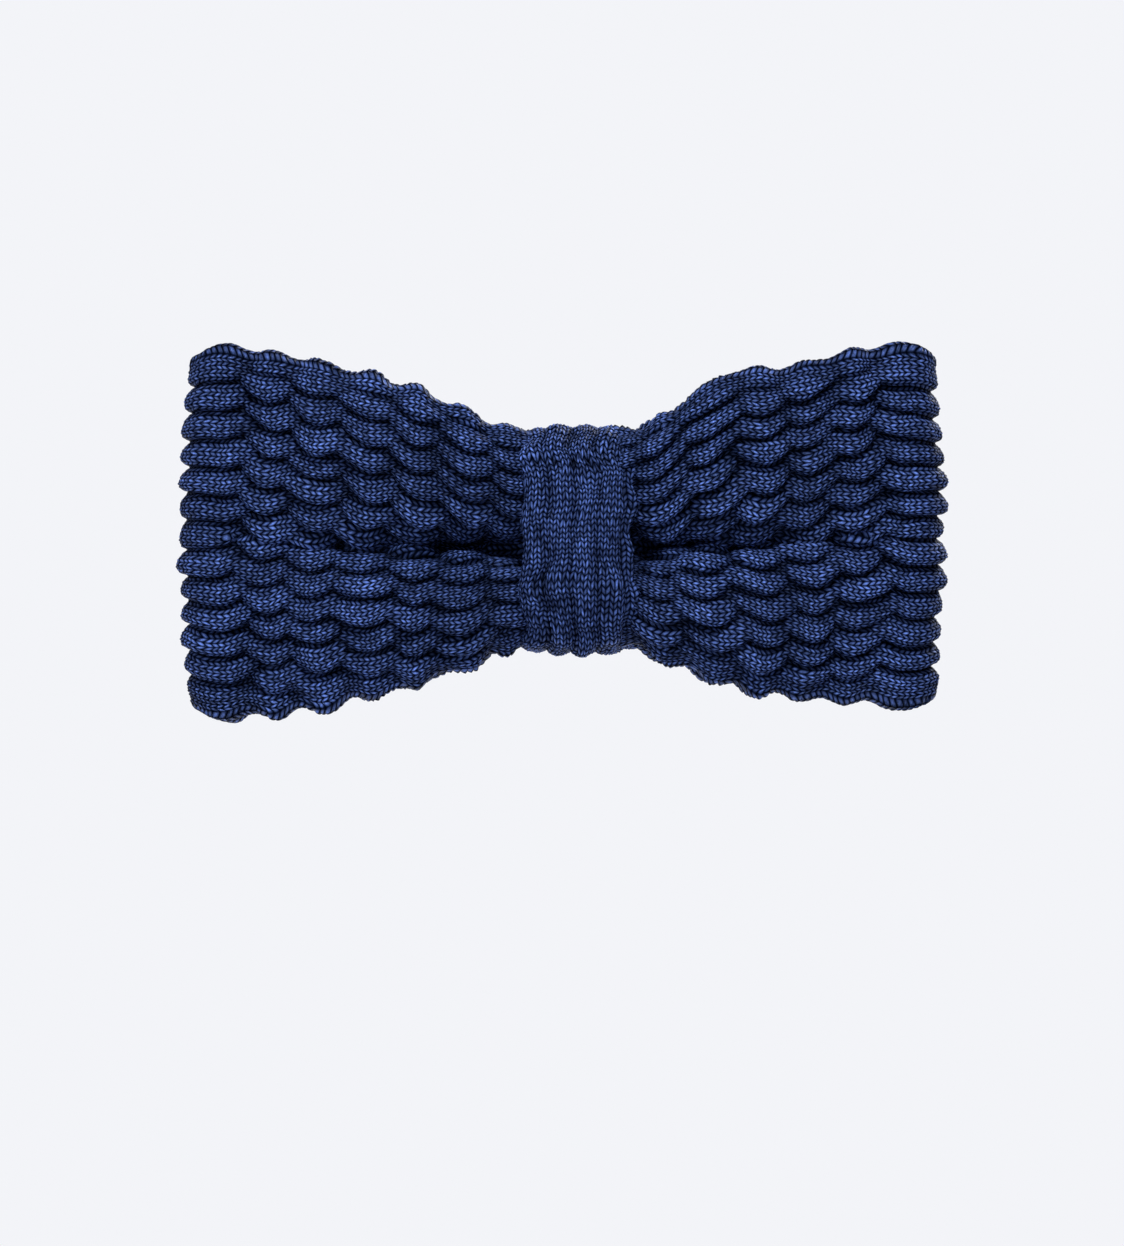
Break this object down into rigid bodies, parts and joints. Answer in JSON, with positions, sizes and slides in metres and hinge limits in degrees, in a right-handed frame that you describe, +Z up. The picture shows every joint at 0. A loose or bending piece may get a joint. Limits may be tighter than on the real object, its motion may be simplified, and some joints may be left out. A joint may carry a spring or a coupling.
{
  "type": "bow tie",
  "caption": "Pre-tied knitted bow tie: looped wings and a wrapped knot that slides on an adjustable neckband, closed with a hook and eye.",
  "frame": {"origin": "on the neck's axis, at the middle of the neckband's height, as the bow tie is worn", "axes": "+Z up as worn, +X towards the right wing seen from in front, -Y out of the bow's face, +Y towards the clasp at the back of the neck"},
  "size_m": [0.124, 0.1513, 0.0582],
  "materials": {
    "knit": "navy relief knit, matt with a fine lustre",
    "felt": "dark felt, matt",
    "thread": "navy sewing thread",
    "ribbon": "navy grosgrain ribbon",
    "metal": "satin nickel plate"
  },
  "bodies": {
    "neckband": {"neckband": "ribbon", "tail_stitching": "thread"},
    "bow": {"bow_strip": "knit", "left_stiffener": "felt", "right_stiffener": "felt", "pinch_thread": "thread", "strip_end_seam": "thread", "knot_padding": "felt", "knot_band": "knit", "knot_seam": "thread"},
    "slider": {"slider": "metal"},
    "hook_end": {"neckband_hook_end": "ribbon", "hook_end_stitching": "thread"},
    "hook": {"hook": "metal"},
    "eye": {"eye": "metal"}
  },
  "joints": [
    {"name": "bow_slide", "type": "hinge", "parent": "neckband", "child": "bow", "pos_m": [0, 0, 0], "axis": [0, 0, 1], "range_deg": [-6, 6]},
    {"name": "slider_travel", "type": "hinge", "parent": "neckband", "child": "slider", "pos_m": [0, 0, 0], "axis": [0, 0, 1], "range_deg": [-3, 28]},
    {"name": "band_flex", "type": "hinge", "parent": "neckband", "child": "hook_end", "pos_m": [-0.03315, 0.05305, 0], "axis": [0, 0, 1], "range_deg": [0, 35]},
    {"name": "hook_pivot", "type": "hinge", "parent": "hook_end", "child": "hook", "pos_m": [-0.00683, 0.06499, 0], "axis": [0, 0, 1], "range_deg": [0, 75]},
    {"name": "eye_pivot", "type": "hinge", "parent": "neckband", "child": "eye", "pos_m": [0.01441, 0.06241, 0], "axis": [0, 0, 1], "range_deg": [0, 25]}
  ]
}
